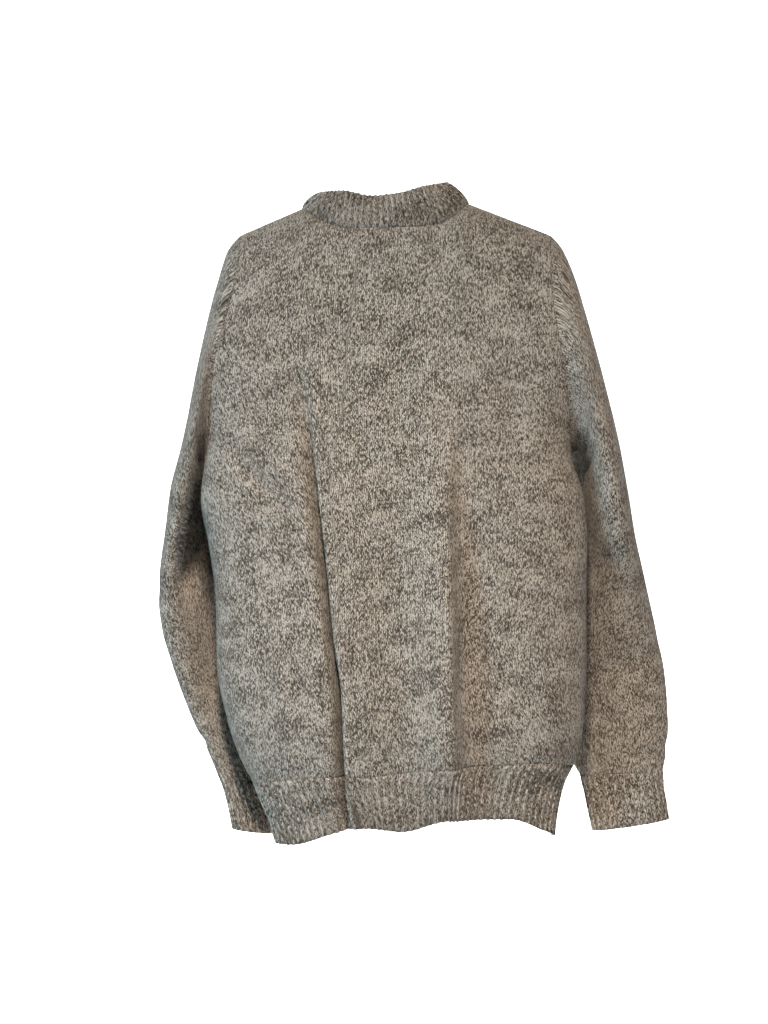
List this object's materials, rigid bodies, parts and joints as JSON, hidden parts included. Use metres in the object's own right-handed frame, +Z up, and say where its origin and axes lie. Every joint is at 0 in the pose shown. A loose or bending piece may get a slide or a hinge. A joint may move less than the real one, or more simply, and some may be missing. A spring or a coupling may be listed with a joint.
{
  "type": "crewneck sweater",
  "caption": "Long-sleeved crewneck sweater in a chunky marled knit, hanging hollow, with ribbed neckband, hem and cuffs.",
  "frame": {"origin": "between the shoulders, at the height of the inner ends of the shoulder seams, halfway from back to front", "axes": "+Z up, +X to the right as the back is faced, the back of the garment faces -Y"},
  "size_m": [0.5459, 0.2289, 0.699],
  "materials": {
    "body_knit": "matte marled wool, stocking stitch",
    "rib_knit": "matte marled wool, ribbed"
  },
  "bodies": {
    "root": {"back": "body_knit", "front": "body_knit", "sleeve_left": "body_knit", "sleeve_right": "body_knit", "neckband": "rib_knit", "hem_back": "rib_knit", "hem_front": "rib_knit", "cuff_left": "rib_knit", "cuff_right": "rib_knit"}
  },
  "joints": []
}
